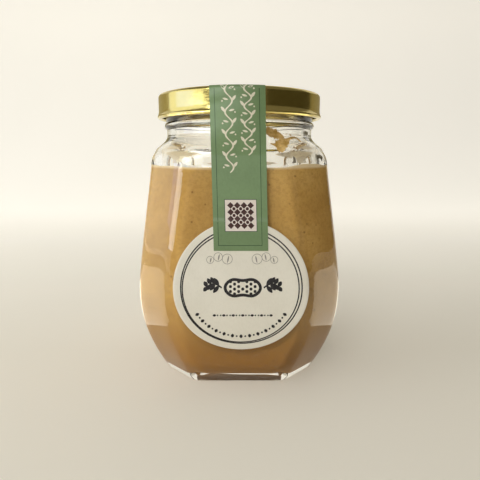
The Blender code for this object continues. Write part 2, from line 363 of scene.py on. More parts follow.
def pale_stage():
    """The matt cream of the floor and backdrop, which also glow: painted light that keeps the backdrop
    bright, far weaker on the floor in front of and under the jar, so that the floor there and the jar's
    lower body stay darker as painted shade.
    """
    stage = Finish("pale_stage", Roughness=0.7, Specular_IOR_Level=0.2, Emission_Strength=0.54)
    # Painted light and shade: the glow is dim on the floor near the jar and bright towards the backdrop.
    near, far, high = (0.30, 0.285, 0.24), (1.0, 0.975, 0.905), (0.80, 0.78, 0.735)
    glow = stage.ramp(stage.along("Y") * 1.3, (0.0, near), (0.6, far), (1.0, high))
    stage.feed(stage.shader.inputs["Emission Color"], glow)
    tone = stage.noise(3.0, 2.0)
    stage.colour(stage.mix(stage.level(tone, 0.3, 0.7), rgb(0.74, 0.71, 0.635), rgb(0.765, 0.735, 0.66)))
    return stage


def card(name, glow):
    """A card that shows as an even tone."""
    black = rgb(0.01, 0.01, 0.01)
    return Finish(name, Base_Color=black, Roughness=1.0, Emission_Color=glow, Emission_Strength=1.0)


# Mesh making


def add_piece(name, points, faces, finish, sharp_from=radians(38)):
    """A named mesh piece that rides with the jar."""
    mesh = bpy.data.meshes.new(name)
    mesh.from_pydata(points, [], faces)
    mesh.shade_smooth()
    mesh.set_sharp_from_angle(angle=sharp_from)
    mesh.materials.append(finish.material)
    obj = bpy.data.objects.new(name, mesh)
    bpy.context.scene.collection.objects.link(obj)
    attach(obj, "root")
    return obj


def skin_faces(rows, count):
    """Faces that join each closed row of points to the next and close both ends."""
    faces = [tuple(reversed(range(count)))]
    for row in range(rows - 1):
        for i, j in around(count):
            low = row * count
            faces.append((low + i, low + j, low + count + j, low + count + i))
    faces.append(tuple(range((rows - 1) * count, rows * count)))
    return faces


# The jar's form


def body_half(z):
    """Half the width of the body from face to face at this height."""
    if z < WIDEST_Z:
        return WIDEST_HALF - FOOT_FLARE * ((WIDEST_Z - z) / WIDEST_Z) ** BELLY_POWER
    return WIDEST_HALF - TAPER * (sqrt((z - WIDEST_Z) ** 2 + TAPER_BEND**2) - TAPER_BEND)


def face_share(z):
    """How wide the flat faces are at this height, beside the whole body."""
    return TOP_SHARE + BELLY_SHARE * smooth(z, *BELLY_SPAN) - FOOT_SHARE * smooth(z, *FOOT_SPAN)


def leaning(angle, z):
    """One of the turns, moved along with the upright edges, which lean with the faces' width."""
    middle = round(angle / (pi / 2)) * pi / 2
    away = abs(angle - middle)
    edge = atan2(face_share(z), 1.0)
    if away < EDGE_TURN:
        moved = away * edge / EDGE_TURN
    else:
        moved = pi / 4 - (pi / 4 - away) * (pi / 4 - edge) / (pi / 4 - EDGE_TURN)
    return middle + copysign(moved, angle - middle)


def round_row(radius_at, z):
    """One closed row of points round the axis."""
    turns = [leaning(turn, z) for turn in TURNS]
    return [(radius_at(turn) * cos(turn), radius_at(turn) * sin(turn), z) for turn in turns]


def section_radius(angle, half, share, inset, sharp, corner=0.0):
    """From the axis to a square with its corners cut, deeper by corner, and a narrow bevel on each edge."""
    flat = half - inset
    cut = half * (1 + share) / sqrt(2) - corner - inset
    bevel = half * (cos(pi / 8) + share * sin(pi / 8)) - BEVEL_CUT - corner / 2 - inset
    total = 0.0
    for side in range(16):
        lean = cos(angle - side * pi / 8)
        if lean > 0.6:
            total += (lean * half / (flat, bevel, cut, bevel)[side % 4]) ** sharp
    return half * total ** (-1.0 / sharp)


def glass_radius(angle, z, inset=0.0, drop=0.0, edge=EDGE_SHARP, corner=0.0):
    """From the axis to the glass, or to a wall inset from it whose shoulder lies lower by drop."""
    sharp = edge * (EDGE_SOFT / edge) ** smooth(z, *SOFTENING)
    body = section_radius(angle, body_half(z), face_share(z), inset, sharp, corner)
    return body + (NECK_R - inset - body) * smooth(z + drop, *SHOULDER)


def hollow_radius(angle, z, inset, floor):
    """The wall of a round-heeled hollow in the glass: inset from its outer face, closed below at floor."""
    rise = min(max((floor + INNER_HEEL - z) / INNER_HEEL, 0.0), 1.0)
    heel = INNER_HEEL * (1 - sqrt(1 - rise**2))
    sharp = INNER_SHARP * (EDGE_SOFT / INNER_SHARP) ** smooth(z, *INNER_SOFTENING)
    return glass_radius(angle, z, inset, SHOULDER_DROP, sharp, CORNER_WALL) - heel


def ripple(angle, z, size):
    """The slow unevenness of a moulded wall."""
    return size * noise.noise(Vector((2.2 * cos(angle), 2.2 * sin(angle), 70 * z)))


PANEL_TOP = 0.0888
PANEL_CORNER = 0.0042
BEAD_RISE = 0.00016
BEAD_SPREAD = 0.00080
BEAD_FADE = (0.079, 0.085)


def panel_bead(angle, z):
    """The low bead that frames each face: up one edge, over the arched top and down the other."""
    turn = (angle + pi / 4) % (pi / 2) - pi / 4
    half = body_half(z)
    across = abs(half * sin(turn) / cos(turn)) - (0.985 * TOP_SHARE * half - PANEL_CORNER)
    up = z - (PANEL_TOP - PANEL_CORNER)
    away = hypot(max(across, 0.0), max(up, 0.0)) + min(max(across, up), 0.0) - PANEL_CORNER
    return BEAD_RISE * smooth(z, *BEAD_FADE) * exp(-((away / BEAD_SPREAD) ** 2))


# Heights between which the outside's rows of points keep an even spacing
ROWS_FROM = (0.0015, 0.0825, 0.089)


def jar_outside():
    """The glass from the middle of its foot up to the mouth's edge."""
    rows = []
    for radius in spread(PUSH_UP_FLAT_R, PUSH_UP_R, 8):
        z = PUSH_UP * (1 - smooth(radius, PUSH_UP_FLAT_R, PUSH_UP_R))
        rows.append(round_row(lambda a: radius, z))
    for turn in spread(0.0, radians(60), 6):
        half = FOOT_HALF + HEEL_R * sin(turn)
        z = HEEL_R * (1 - cos(turn))
        rows.append(round_row(lambda a: section_radius(a, half, face_share(z), 0.0, EDGE_SHARP), z))
    low, middle, high = ROWS_FROM
    heights = spread(low, middle, 66)[1:] + spread(middle, high, 36)[1:] + spread(high, SHOULDER[1], 16)[1:]
    for z in heights:
        rows.append(round_row(lambda a: glass_radius(a, z) + panel_bead(a, z), z))
    for turn in spread(0.0, pi, 12):
        z = BEAD_Z - BEAD_HEIGHT / 2 + BEAD_HEIGHT * (1 - cos(turn)) / 2
        rows.append(round_row(lambda a: NECK_R + (BEAD_R - NECK_R) * sin(turn), z))
    for z in spread(BEAD_Z + BEAD_HEIGHT * 0.7, MOUTH_Z - LIP_R, 3):
        rows.append(round_row(lambda a: FINISH_R, z))
    return rows


def jar_lip():
    """The rounded mouth, from its outside over the top to the bore."""
    rows = []
    bore = NECK_R - WALL
    for turn in spread(0.0, pi / 2, 4)[1:]:
        z = MOUTH_Z - LIP_R * (1 - sin(turn))
        rows.append(round_row(lambda a: FINISH_R - LIP_R * (1 - cos(turn)), z))
    for turn in spread(pi / 2, 0.0, 4):
        z = MOUTH_Z - LIP_R * (1 - sin(turn))
        rows.append(round_row(lambda a: bore + LIP_R * (1 - cos(turn)), z))
    return rows


HEEL_RISES = [INNER_HEEL * (1 - cos(turn)) for turn in spread(0.0, pi / 2, 10)]
INNER_RIPPLE = 0.00012
INNER_ROWS_FROM = 0.082


def jar_inside():
    """The hollow, from the mouth down to the middle of its floor."""
    heights = [FLOOR_Z + rise for rise in HEEL_RISES] + spread(FLOOR_Z + INNER_HEEL, INNER_ROWS_FROM, 30)[1:]
    heights += spread(INNER_ROWS_FROM, SHOULDER[1], 30)[1:]
    heights += spread(SHOULDER[1], MOUTH_Z - LIP_R, 10)[1:-1]
    rows = []
    for z in reversed(heights):
        wave = INNER_RIPPLE * smooth(z, FLOOR_Z, 0.02) * (1 - smooth(z, 0.095, 0.1))
        rows.append(round_row(lambda a: hollow_radius(a, z, WALL, FLOOR_Z) + ripple(a, z, wave), z))
    return rows


def make_glass(finish):
    rows = jar_outside() + jar_lip() + jar_inside()
    jar = add_piece("jar_glass", sum(rows, []), skin_faces(len(rows), ROUND_STEPS), finish)
    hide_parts("glass_jar")


# Filling

RIGHT_FRONT_EDGE = radians(-45)
LEVEL_TILT = 0.00035


def level_at(angle, share):
    """The settled top: a little higher at the back, with a low swirl and a rise along one cut corner."""
    swirl = 0.00012 * sin(3 * angle + 16 * share) * smooth(share, 0.1, 0.4) * (1 - smooth(share, 0.8, 1.0))
    away = (angle - RIGHT_FRONT_EDGE + pi) % (2 * pi) - pi
    rise = 0.0008 * smooth(share, 0.8, 1.0) * (1 - smooth(abs(away), 0.1, 0.3))
    edge = 0.0002 * smooth(share, 0.9, 1.0) * noise.noise(Vector((5 * cos(angle), 5 * sin(angle), 3.0)))
    return LEVEL_Z + LEVEL_TILT * share * sin(angle) + swirl + rise + edge


def make_filling(finish):
    inset = WALL - SINK
    floor = FLOOR_Z - SINK
    heights = [floor + rise for rise in HEEL_RISES]
    heights += spread(floor + INNER_HEEL, LEVEL_Z - 0.0015, 60)[1:]
    rows = [round_row(lambda a: hollow_radius(a, z, inset, floor), z) for z in heights]
    for share in (1.0, 0.985, 0.96, 0.93, 0.88, 0.8, 0.7, 0.58, 0.45, 0.3, 0.15, 0.05):
        row = []
        for turn in TURNS:
            radius = share * hollow_radius(turn, LEVEL_Z - 0.0004, inset, floor)
            row.append((radius * cos(turn), radius * sin(turn), level_at(turn, share)))
        rows.append(row)
    filling = add_piece("filling", sum(rows, []), skin_faces(len(rows), ROUND_STEPS), finish)
    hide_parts("peanut_butter")


# Thin smears left on the glass above the filling: angle in degrees, height and width along each

UPPER_SMEAR = [(290.2, 0.0954, 0.0026), (294.5, 0.0943, 0.0038), (299.4, 0.0931, 0.0038),
               (303.0, 0.0923, 0.0023), (304.9, 0.0919, 0.0006)]
LOWER_SMEAR = [(291.8, 0.0897, 0.0004), (294.2, 0.0892, 0.0012), (296.5, 0.0890, 0.0036),
               (299.4, 0.0895, 0.0029), (303.5, 0.0903, 0.0021), (307.4, 0.0910, 0.0008)]
TAIL_SMEAR = [(305.9, 0.0908, 0.0008), (310.4, 0.0915, 0.0009), (314.9, 0.0918, 0.0010),
              (317.2, 0.0914, 0.0009), (317.4, 0.0906, 0.0011), (317.1, 0.0899, 0.0008)]
SPECK_SMEAR = [(311.4, 0.0938, 0.0003), (312.3, 0.0932, 0.0007), (312.5, 0.0928, 0.0003)]
CRUMB_SMEAR = [(307.5, 0.0941, 0.0003), (308.4, 0.0939, 0.0004), (309.0, 0.0938, 0.0002)]


def wall_point(angle, z, depth):
    """A place on the inside of the glass, in towards the axis by depth."""
    radius = hollow_radius(angle, z, WALL, FLOOR_Z) - depth
    return (radius * cos(angle), radius * sin(angle), z)


def between(a, b, c, d, t):
    """A value on the smooth curve from b to c, with a before them and d after."""
    return 0.5 * (2 * b + (c - a) * t + (2 * a - 5 * b + 4 * c - d) * t**2 + (3 * b - a - 3 * c + d) * t**3)


def eased(points, steps):
    """A smooth run through the points, from the first to the last."""
    padded = [points[0]] + points + [points[-1]]
    found = []
    for p0, p1, p2, p3 in zip(padded, padded[1:], padded[2:], padded[3:]):
        for t in spread(0.0, 1.0, steps)[:-1]:
            found.append(tuple(between(*four, t) for four in zip(p0, p1, p2, p3)))
    return found + [points[-1]]


SMEAR_COLUMNS = 10
RAGGED = 0.22


def make_smear(name, spine, thickness, finish):
    """A thin streaky dab on the inside of the wall, ragged at its edges, its back sunk into the glass."""
    run = eased(spine, 9)
    rows = []
    for k, (angle, z, width) in enumerate(run):
        before, after = run[max(k - 1, 0)], run[min(k + 1, len(run) - 1)]
        across = radians(after[0] - before[0]) * NECK_R
        up = after[1] - before[1]
        length = hypot(across, up)
        top, back = [], []
        for step in range(SMEAR_COLUMNS + 1):
            side = 2 * step / SMEAR_COLUMNS - 1
            tooth = noise.noise(Vector((1.9 * k, 3.0 * copysign(1.0, side), 900 * thickness)))
            out = side * (width / 2) * (1 + RAGGED * 2 * tooth * abs(side))
            at = radians(angle) - out * up / length / NECK_R
            height = z + out * across / length
            streaks = 0.65 + 0.5 * noise.noise(Vector((0.25 * k, 5.0 * side, 2.0)))
            top.append(wall_point(at, height, thickness * streaks * (1 - side**4) + 0.00001))
            back.append(wall_point(at, height, -SINK))
        rows.append(top + list(reversed(back)))
    smear = add_piece(name, sum(rows, []), skin_faces(len(rows), len(rows[0])), finish)


# Lid

SKIRT_R = LID_R - 0.00055
CORNER_R = 0.0013
CURL_R = 0.0009
CURL_Z = 0.1014
SHELL = 0.0005
RIM_R = 0.0268
RECESS = 0.00035
FLARE = 0.0024
MIDDLE_R = 0.0005
RING = (0.0115, 0.0140)
RING_DEPTH = 0.00025
STEP_RUN = 0.0012


def arc(centre_r, centre_z, radius, start, end, steps):
    """Points of a circular arc in the profile's plane, as radius from the axis and height."""
    turns = spread(radians(start), radians(end), steps)
    return [(centre_r + radius * cos(t), centre_z + radius * sin(t)) for t in turns]


def soft_step(start_r, start_z, rise, steps):
    """A step pressed into the lid's top, out from start_r, that rises or falls."""
    return [(start_r + STEP_RUN * t, start_z + rise * smooth(t, 0.0, 1.0)) for t in spread(0.0, 1.0, steps)]


def lid_profile():
    """The lid's section from the middle of its top, down the skirt, round the curl and up the inside."""
    top = LID_TOP_Z
    panel = top - RECESS
    points = [(MIDDLE_R, panel)] + soft_step(RING[0], panel, -RING_DEPTH, 6)
    points += soft_step(RING[1], panel - RING_DEPTH, RING_DEPTH, 6)
    points += soft_step(RIM_R - STEP_RUN, panel, RECESS, 8)
    points += arc(SKIRT_R - CORNER_R, top - CORNER_R, CORNER_R, 90, 0, 16)
    points += [(SKIRT_R, z) for z in spread(top - CORNER_R, CURL_Z + FLARE, 6)[1:]]
    curl = arc(LID_R - CURL_R, CURL_Z, CURL_R, 38, -210, 30)
    curl_r, curl_z = curl[0]
    flare_z = CURL_Z + FLARE
    for t in spread(0.0, 1.0, 12)[1:-1]:
        points.append((SKIRT_R + (curl_r - SKIRT_R) * t**2, flare_z + (curl_z - flare_z) * t))
    points += curl
    inner = SKIRT_R - SHELL
    points.append((inner, CURL_Z + 0.0011))
    corner = CORNER_R - SHELL
    points += arc(inner - corner, top - SHELL - corner, corner, 0, 90, 6)
    under = panel - SHELL - 0.0001
    points += [(RIM_R - 0.0006, top - SHELL), (RIM_R - 0.0016, under), (MIDDLE_R, under)]
    return points


def make_lid(finish):
    """A turned shell. Its rows run from the middle of the top to the middle of the underside."""
    rows = [round_row(lambda a: r, z) for r, z in reversed(lid_profile())]
    lid = add_piece("twist_off_lid", sum(rows, []), skin_faces(len(rows), ROUND_STEPS), finish)
    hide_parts("lid")


# Paper and print

LABEL_R = 0.024
LABEL_X = 0.00065
LABEL_Z = 0.0405
LABEL_PAPER = 0.00022
STRIP_WIDTH = 0.019
STRIP_END_Z = 0.0539
STRIP_LAND_Z = 0.0866
STRIP_FRONT_X = 0.00063
STRIP_DRIFT = -0.0232
STRIP_PAPER = 0.00016
STRIP_STEP_Z = (0.0639, 0.0655)
STRIP_BOW = 0.0003
CREASE_LIFT = 0.0005
INK_HEIGHT = 0.00003
INK_SINK = 0.00002


def face_point(x, z, lift):
    """A place on the glass of the front face, out from it by lift."""
    angle = atan2(x, body_half(z))
    for _ in range(4):
        radius = glass_radius(angle, z, -lift)
        angle = atan2(x, sqrt(radius**2 - x**2))
    return (x, -sqrt(radius**2 - x**2), z)


def label_heights():
    """Heights on the front face at even steps along it, upward and downward from the label's middle."""
    step = 0.0005
    heights = {0: LABEL_Z}
    for sign in (1, -1):
        for k in range(1, 53):
            z = heights[sign * (k - 1)]
            slope = (body_half(z + 0.0001) - body_half(z - 0.0001)) / 0.0002
            heights[sign * k] = z + sign * step / hypot(1.0, slope)
    return heights, step


LABEL_HEIGHTS, LABEL_STEP = label_heights()


def on_label(u, v, lift=0.0):
    """A place on the label's face, u across and v up from its middle."""
    low = int(v // LABEL_STEP)
    share = v / LABEL_STEP - low
    z = LABEL_HEIGHTS[low] * (1 - share) + LABEL_HEIGHTS[low + 1] * share
    return face_point(LABEL_X + u, z, LABEL_PAPER + lift)


def make_label(finish):
    """A paper disc stuck to the glass, with a very slightly rounded edge."""
    steps = 160
    rows = []
    for share, lift in ((0.02, -LABEL_PAPER - PAPER_SINK), (0.5, -LABEL_PAPER - PAPER_SINK),
                        (0.9, -LABEL_PAPER - PAPER_SINK), (0.996, -LABEL_PAPER - PAPER_SINK), (1.0, -0.0001),
                        (0.999, -0.00003), (0.996, 0.0), (0.96, 0.0), (0.9, 0.0), (0.8, 0.0), (0.66, 0.0),
                        (0.5, 0.0), (0.33, 0.0), (0.16, 0.0), (0.02, 0.0)):
        row = []
        for k in range(steps):
            turn = 2 * pi * k / steps
            row.append(on_label(share * LABEL_R * cos(turn), share * LABEL_R * sin(turn), lift))
        rows.append(row)
    label = add_piece("label_paper", sum(rows, []), skin_faces(len(rows), steps), finish, radians(60))
    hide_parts("round_label")


def strip_half(x, lift, step_over):
    """The strip's run at this x, from the lid's centre to its end, as (y, z), its surface out by lift."""
    top = LID_TOP_Z + lift
    corner = CORNER_R + lift
    rim = sqrt((SKIRT_R + lift) ** 2 - x**2)
    curl = sqrt((LID_R + lift) ** 2 - x**2)
    hem = CURL_Z - 0.3 * CURL_R
    run = [(y, top) for y in spread(0.0, rim - corner, 24)[:-1]]
    run += arc(rim - corner, top - corner, corner, 90, 6, 9)
    for share in spread(0.0, 1.0, 12)[1:]:
        y = rim + (curl - rim) * smooth(share, 0.2, 1.2)
        run.append((y, top - corner + (hem - top + corner) * share))
    start = run[-1][0]
    land = body_half(STRIP_LAND_Z) + lift
    for share in spread(0.0, 1.0, 30)[1:]:
        y = start + (land - start) * smooth(share, -0.15, 1.1) + STRIP_BOW * sin(pi * share) ** 2
        run.append((y, hem + (STRIP_LAND_Z - hem) * share))
    for z in spread(STRIP_LAND_Z, STRIP_END_Z, 80)[1:]:
        over = step_over * (1 - smooth(z, *STRIP_STEP_Z))
        run.append((body_half(z) + lift + over, z))
    return run


def strip_travel():
    """The distance along the strip's middle from its front end to each place on its run."""
    run = strip_half(0.0, 0.0, 0.0)
    travelled = [0.0]
    for here, after in zip(reversed(run), list(reversed(run))[1:]):
        travelled.append(travelled[-1] + dist(here, after))
    return travelled


STRIP_TRAVEL = strip_travel()
STRIP_ROWS = len(STRIP_TRAVEL)
STRIP_MIDDLE = STRIP_TRAVEL[-1]


def crease(u, v):
    """A stiff corner of paper that stands off the lid's edge at the upper left."""
    height = v - (STRIP_MIDDLE - LID_R - 0.0025)
    across = smooth(-u, 0.0025, 0.0095)
    return CREASE_LIFT * across * smooth(height, -0.003, 0.0) * (1 - smooth(height, 0.0, 0.0035))


def on_strip(u, v, lift=0.0):
    """A place on the strip's face: u across from its middle line, v along it from the front end."""
    back = v > STRIP_MIDDLE
    along = 2 * STRIP_MIDDLE - v if back else v
    row = 0
    while row < STRIP_ROWS - 2 and STRIP_TRAVEL[row + 1] < along:
        row += 1
    share = (along - STRIP_TRAVEL[row]) / (STRIP_TRAVEL[row + 1] - STRIP_TRAVEL[row])
    x = STRIP_FRONT_X + STRIP_DRIFT * v + u
    out = STRIP_PAPER + lift + (0.0 if back else crease(u, v))
    run = strip_half(x, out, 0.0 if back else LABEL_PAPER)
    low, high = run[STRIP_ROWS - 1 - row], run[STRIP_ROWS - 2 - row]
    y = low[0] + (high[0] - low[0]) * share
    z = low[1] + (high[1] - low[1]) * share
    return (x, y if back else -y, z)


STRIP_COLUMNS = 18


def make_strip(finish):
    """One paper strip from the front face over the lid to the back face."""
    travel = STRIP_TRAVEL + [2 * STRIP_MIDDLE - v for v in reversed(STRIP_TRAVEL[:-1])]
    across = spread(-STRIP_WIDTH / 2, STRIP_WIDTH / 2, STRIP_COLUMNS)
    rows = []
    for v in travel:
        face = [on_strip(u, v) for u in across]
        back = [on_strip(u, v, -STRIP_PAPER - PAPER_SINK) for u in reversed(across)]
        rows.append(face + back)
    strip = add_piece("seal_paper", sum(rows, []), skin_faces(len(rows), len(rows[0])), finish, radians(50))
    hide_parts("seal_strip")


class Print:
    """Flat shapes of one ink, gathered on a paper and then laid over it as thin closed films."""

    def __init__(self, place):
        self.place = place
        self.points = []
        self.faces = []

    def film(self, grid, closed=False):
        """A film over rows of (u, v) points, as thick as dry ink."""
        rows, columns = len(grid), len(grid[0])
        base = len(self.points)
        flat = sum(grid, [])
        self.points += [self.place(u, v, INK_HEIGHT) for u, v in flat]
        self.points += [self.place(u, v, -INK_SINK) for u, v in flat]
        under = rows * columns
        pairs = around(rows) if closed else list(zip(range(rows - 1), range(1, rows)))
        for a, b in pairs:
            for i in range(columns - 1):
                quad = [base + a * columns + i, base + a * columns + i + 1,
                        base + b * columns + i + 1, base + b * columns + i]
                self.faces.append(tuple(quad))
                self.faces.append(tuple(k + under for k in reversed(quad)))
            for i, turned in ((0, True), (columns - 1, False)):
                side = [base + a * columns + i, base + b * columns + i]
                side += [side[1] + under, side[0] + under]
                self.faces.append(tuple(side) if turned else tuple(reversed(side)))
        if not closed:
            for row, turned in ((0, False), (rows - 1, True)):
                for i in range(columns - 1):
                    end = [base + row * columns + i, base + row * columns + i + 1]
                    end += [end[1] + under, end[0] + under]
                    self.faces.append(tuple(end) if turned else tuple(reversed(end)))

    def stroke(self, points, widths, closed=False):
        """A line of varying width through points."""
        grid = []
        count = len(points)
        for k, (u, v) in enumerate(points):
            before = points[k - 1] if closed or k else points[0]
            after = points[(k + 1) % count] if closed or k < count - 1 else points[-1]
            du, dv = after[0] - before[0], after[1] - before[1]
            length = hypot(du, dv) or 1.0
            width = widths[k] if isinstance(widths, list) else widths
            nu, nv = -dv / length * width / 2, du / length * width / 2
            grid.append([(u + nu, v + nv), (u - nu, v - nv)])
        self.film(grid, closed)

    def ring(self, centre, radius, width, steps=96):
        turns = [2 * pi * k / steps for k in range(steps)]
        self.stroke([(centre[0] + radius * cos(t), centre[1] + radius * sin(t)) for t in turns], width, True)

    def dot(self, centre, radius):
        """A small disc, as three bands."""
        heights = [radius * share for share in (-0.94, -0.5, 0.5, 0.94)]
        grid = []
        for h in heights:
            reach = sqrt(radius**2 - h**2)
            grid.append([(centre[0] - reach, centre[1] + h), (centre[0] + reach, centre[1] + h)])
        self.film(grid)

    def leaf(self, base, angle, length, width):
        """A pointed leaf that grows from base."""
        steps = spread(0.0, 1.0, 8)
        points = [(base[0] + t * length * cos(angle), base[1] + t * length * sin(angle)) for t in steps]
        self.stroke(points, [width * sin(pi * (0.03 + 0.94 * t)) ** 0.8 for t in steps])

    def lozenge(self, middle, angle, length, width):
        """A leaf shape laid across its middle."""
        base = (middle[0] - length / 2 * cos(angle), middle[1] - length / 2 * sin(angle))
        self.leaf(base, angle, length, width)

    def box(self, centre, width, height, steps=1):
        """A filled rectangle."""
        us = spread(centre[0] - width / 2, centre[0] + width / 2, steps)
        vs = spread(centre[1] + height / 2, centre[1] - height / 2, steps)
        self.film([[(u, v) for u in us] for v in vs])

    def frame(self, corners, width):
        """A closed straight-sided line, mitred at its corners and followed closely along its sides."""
        middle = [sum(values) / len(corners) for values in zip(*corners)]
        for (au, av), (bu, bv) in zip(corners, corners[1:] + corners[:1]):
            steps = max(1, int(hypot(bu - au, bv - av) / 0.001))
            length = hypot(bu - au, bv - av)
            nu, nv = -(bv - av) / length, (bu - au) / length
            if nu * (middle[0] - au) + nv * (middle[1] - av) < 0:
                nu, nv = -nu, -nv
            tu, tv = (bu - au) / length, (bv - av) / length
            grid = []
            for t in spread(0.0, 1.0, steps):
                inner = [(au + nu * width + tu * (width + t * (length - 2 * width))),
                         (av + nv * width + tv * (width + t * (length - 2 * width)))]
                outer = [(au + tu * t * length), (av + tv * t * length)]
                grid.append([tuple(inner), tuple(outer)])
            self.film(grid)

    def lay(self, name, finish):
        piece = add_piece(name, self.points, self.faces, finish, radians(30))


MM = 0.001


def pod(print_, centre, length, width, line):
    """A peanut pod in outline, with a dimpled shell."""
    outline = []
    for turn in [2 * pi * k / 48 for k in range(48)]:
        waist = 1 - 0.30 * (1 - smooth(abs(cos(turn)), 0.0, 0.75))
        outline.append((centre[0] + length / 2 * cos(turn), centre[1] + width / 2 * sin(turn) * waist))
    print_.stroke(outline, line, True)
    for column in range(-3, 4):
        for row in (-1, 0, 1):
            if column == 0 and row:
                continue
            u = centre[0] + column * length / 8.6
            v = centre[1] + (row + (0.5 if column % 2 else 0.0) - 0.25) * width / 4.2
            print_.dot((u, v), line * 0.55)


EMBLEM = (0.6 * MM, 0.4 * MM)
ROW_V = -9.8 * MM
ROW_PITCH = 1.12 * MM
ARC_R = 18.2 * MM
ARC_PITCH = radians(4.9)


def sprig(print_, side):
    """A sprig at one side of the pod: an arched stem with pairs of leaves, shorter towards its tip."""
    def on_stem(t):
        return (EMBLEM[0] + side * (7.4 + 5.6 * t) * MM, EMBLEM[1] + 1.4 * MM * sin(pi * t))

    print_.stroke([on_stem(t) for t in spread(0.0, 1.0, 10)], 0.55 * MM)
    outward = 0.0 if side > 0 else pi
    for k, t in enumerate((0.18, 0.42, 0.66, 0.9)):
        for lean in (58, -52):
            print_.leaf(on_stem(t), outward + side * radians(lean), (3.2 - 0.35 * k) * MM, 1.5 * MM)


def ringed_beads(print_, side):
    """Three small ringed beads at one side, the first the largest, each with a mark in it."""
    for k, (across, up) in enumerate(((5.2, 10.6), (8.4, 11.3), (11.2, 10.3))):
        centre = ((side * across + 0.4) * MM, up * MM)
        radius = (1.75 - 0.25 * k) * MM
        print_.ring(centre, radius, 0.16 * MM, 32)
        print_.leaf((centre[0], centre[1] - radius * 0.8), radians(90 + side * 12), radius * 1.5, 0.5 * MM)


def make_label_print(finish, line_finish):
    """A double ring, a bold pod between two sprigs, a row of beads and an arc of lozenges."""
    bold = Print(on_label)
    bold.ring((0.12 * MM, 0.15 * MM), 21.35 * MM, 0.46 * MM, 144)
    bold.ring((-0.12 * MM, -0.12 * MM), 20.55 * MM, 0.44 * MM, 144)
    pod(bold, EMBLEM, 12.4 * MM, 7.4 * MM, 1.05 * MM)
    for side in (-1, 1):
        sprig(bold, side)
    for k in range(-9, 10):
        where = (EMBLEM[0] + k * ROW_PITCH, ROW_V)
        if k % 3:
            bold.dot(where, 0.3 * MM)
        else:
            bold.lozenge(where, 0.0, 1.24 * MM, 0.9 * MM)
    for k in range(-12, 13):
        turn = k * ARC_PITCH - pi / 2
        where = (ARC_R * cos(turn), ARC_R * sin(turn))
        if k % 2:
            bold.dot(where, 0.36 * MM)
        else:
            bold.lozenge(where, turn, 1.5 * MM, 1.15 * MM)
    bold.lay("label_print", finish)
    fine = Print(on_label)
    for side in (-1, 1):
        ringed_beads(fine, side)
    fine.lay("label_fine_print", line_finish)


SQUARE_V = 0.0123
SQUARE_MIDDLE = (0.2 * MM, SQUARE_V)
SQUARE = 0.0108
LINE = 0.2 * MM
BORDER_INSET = (1.6 * MM, 2.0 * MM, 1.8 * MM)
VINE_END = 0.0565
VINE_WAVE = 0.0066
VINE_SWING = 1.25 * MM


def rectangle(left, right, low, high):
    return [(left, low), (right, low), (right, high), (left, high)]


def vine_run(print_, centre, start):
    """One run of the vine: a waving stem, with two leaves and a berry at every bend."""
    length = VINE_END - start
    waves = round(length / VINE_WAVE)
    points = []
    widths = []
    for t in spread(0.0, 1.0, waves * 12):
        wave = sin(2 * pi * waves * t)
        points.append((centre + VINE_SWING * wave, start + length * t))
        widths.append((0.34 + 0.26 * abs(wave)) * MM)
    print_.stroke(points, widths)
    for k in range(2 * waves):
        side = 1 if k % 2 == 0 else -1
        v = start + length * (k + 0.5) / (2 * waves)
        print_.leaf((centre + side * VINE_SWING * 0.9, v), radians(90 - side * 38), 2.3 * MM, 0.95 * MM)
        inner = (centre - side * VINE_SWING * 0.1, v + 0.4 * MM)
        print_.leaf(inner, radians(90 + side * 75), 1.9 * MM, 0.7 * MM)
        print_.dot((centre - side * (VINE_SWING + 0.9 * MM), v), 0.3 * MM)


def diamonds(print_, cell):
    """Four rows of four diamonds, each with a dot in it, and dots where four of them meet."""
    def spot(column, row):
        return (SQUARE_MIDDLE[0] + column * cell, SQUARE_MIDDLE[1] + row * cell)

    reach = cell / 2
    for column in spread(-1.5, 1.5, 3):
        for row in spread(-1.5, 1.5, 3):
            u, v = spot(column, row)
            print_.frame([(u - reach, v), (u, v - reach), (u + reach, v), (u, v + reach)], 0.56 * MM)
            print_.dot((u, v), 0.42 * MM)
    for column in (-1, 0, 1):
        for row in (-1, 0, 1):
            print_.dot(spot(column, row), 0.6 * MM)


def make_strip_print(dark, cream, white, brown):
    """A thin dark border, a cream vine in two runs and a white square with a sampler of nested diamonds."""
    left, right, end = BORDER_INSET
    border = Print(on_strip)
    sides = (left - STRIP_WIDTH / 2, STRIP_WIDTH / 2 - right)
    border.frame(rectangle(*sides, end, 2 * STRIP_MIDDLE - end), LINE)
    half = SQUARE / 2 + 0.22 * MM
    u, v = SQUARE_MIDDLE
    border.frame(rectangle(u - half, u + half, v - half, v + half), LINE)
    border.lay("strip_border", dark)

    vine = Print(on_strip)
    vine_run(vine, -3.1 * MM, 0.0270)
    vine_run(vine, 3.4 * MM, 0.0330)
    vine.lay("strip_vine", cream)

    field = Print(on_strip)
    field.box(SQUARE_MIDDLE, SQUARE, SQUARE, 14)
    field.lay("strip_square", white)

    sampler = Print(lambda u, v, lift: on_strip(u, v, lift + INK_HEIGHT))
    diamonds(sampler, SQUARE * 0.86 / 4)
    sampler.lay("strip_sampler", brown)


# Stage

FLOOR_HALF = 1.6
FLOOR_FRONT_Y = -1.4
BACKDROP_Y = 0.75
BACKDROP_BEND = 0.35
BACKDROP_TOP = 1.6
CARD_R = 0.5
CARD_STEPS = 8


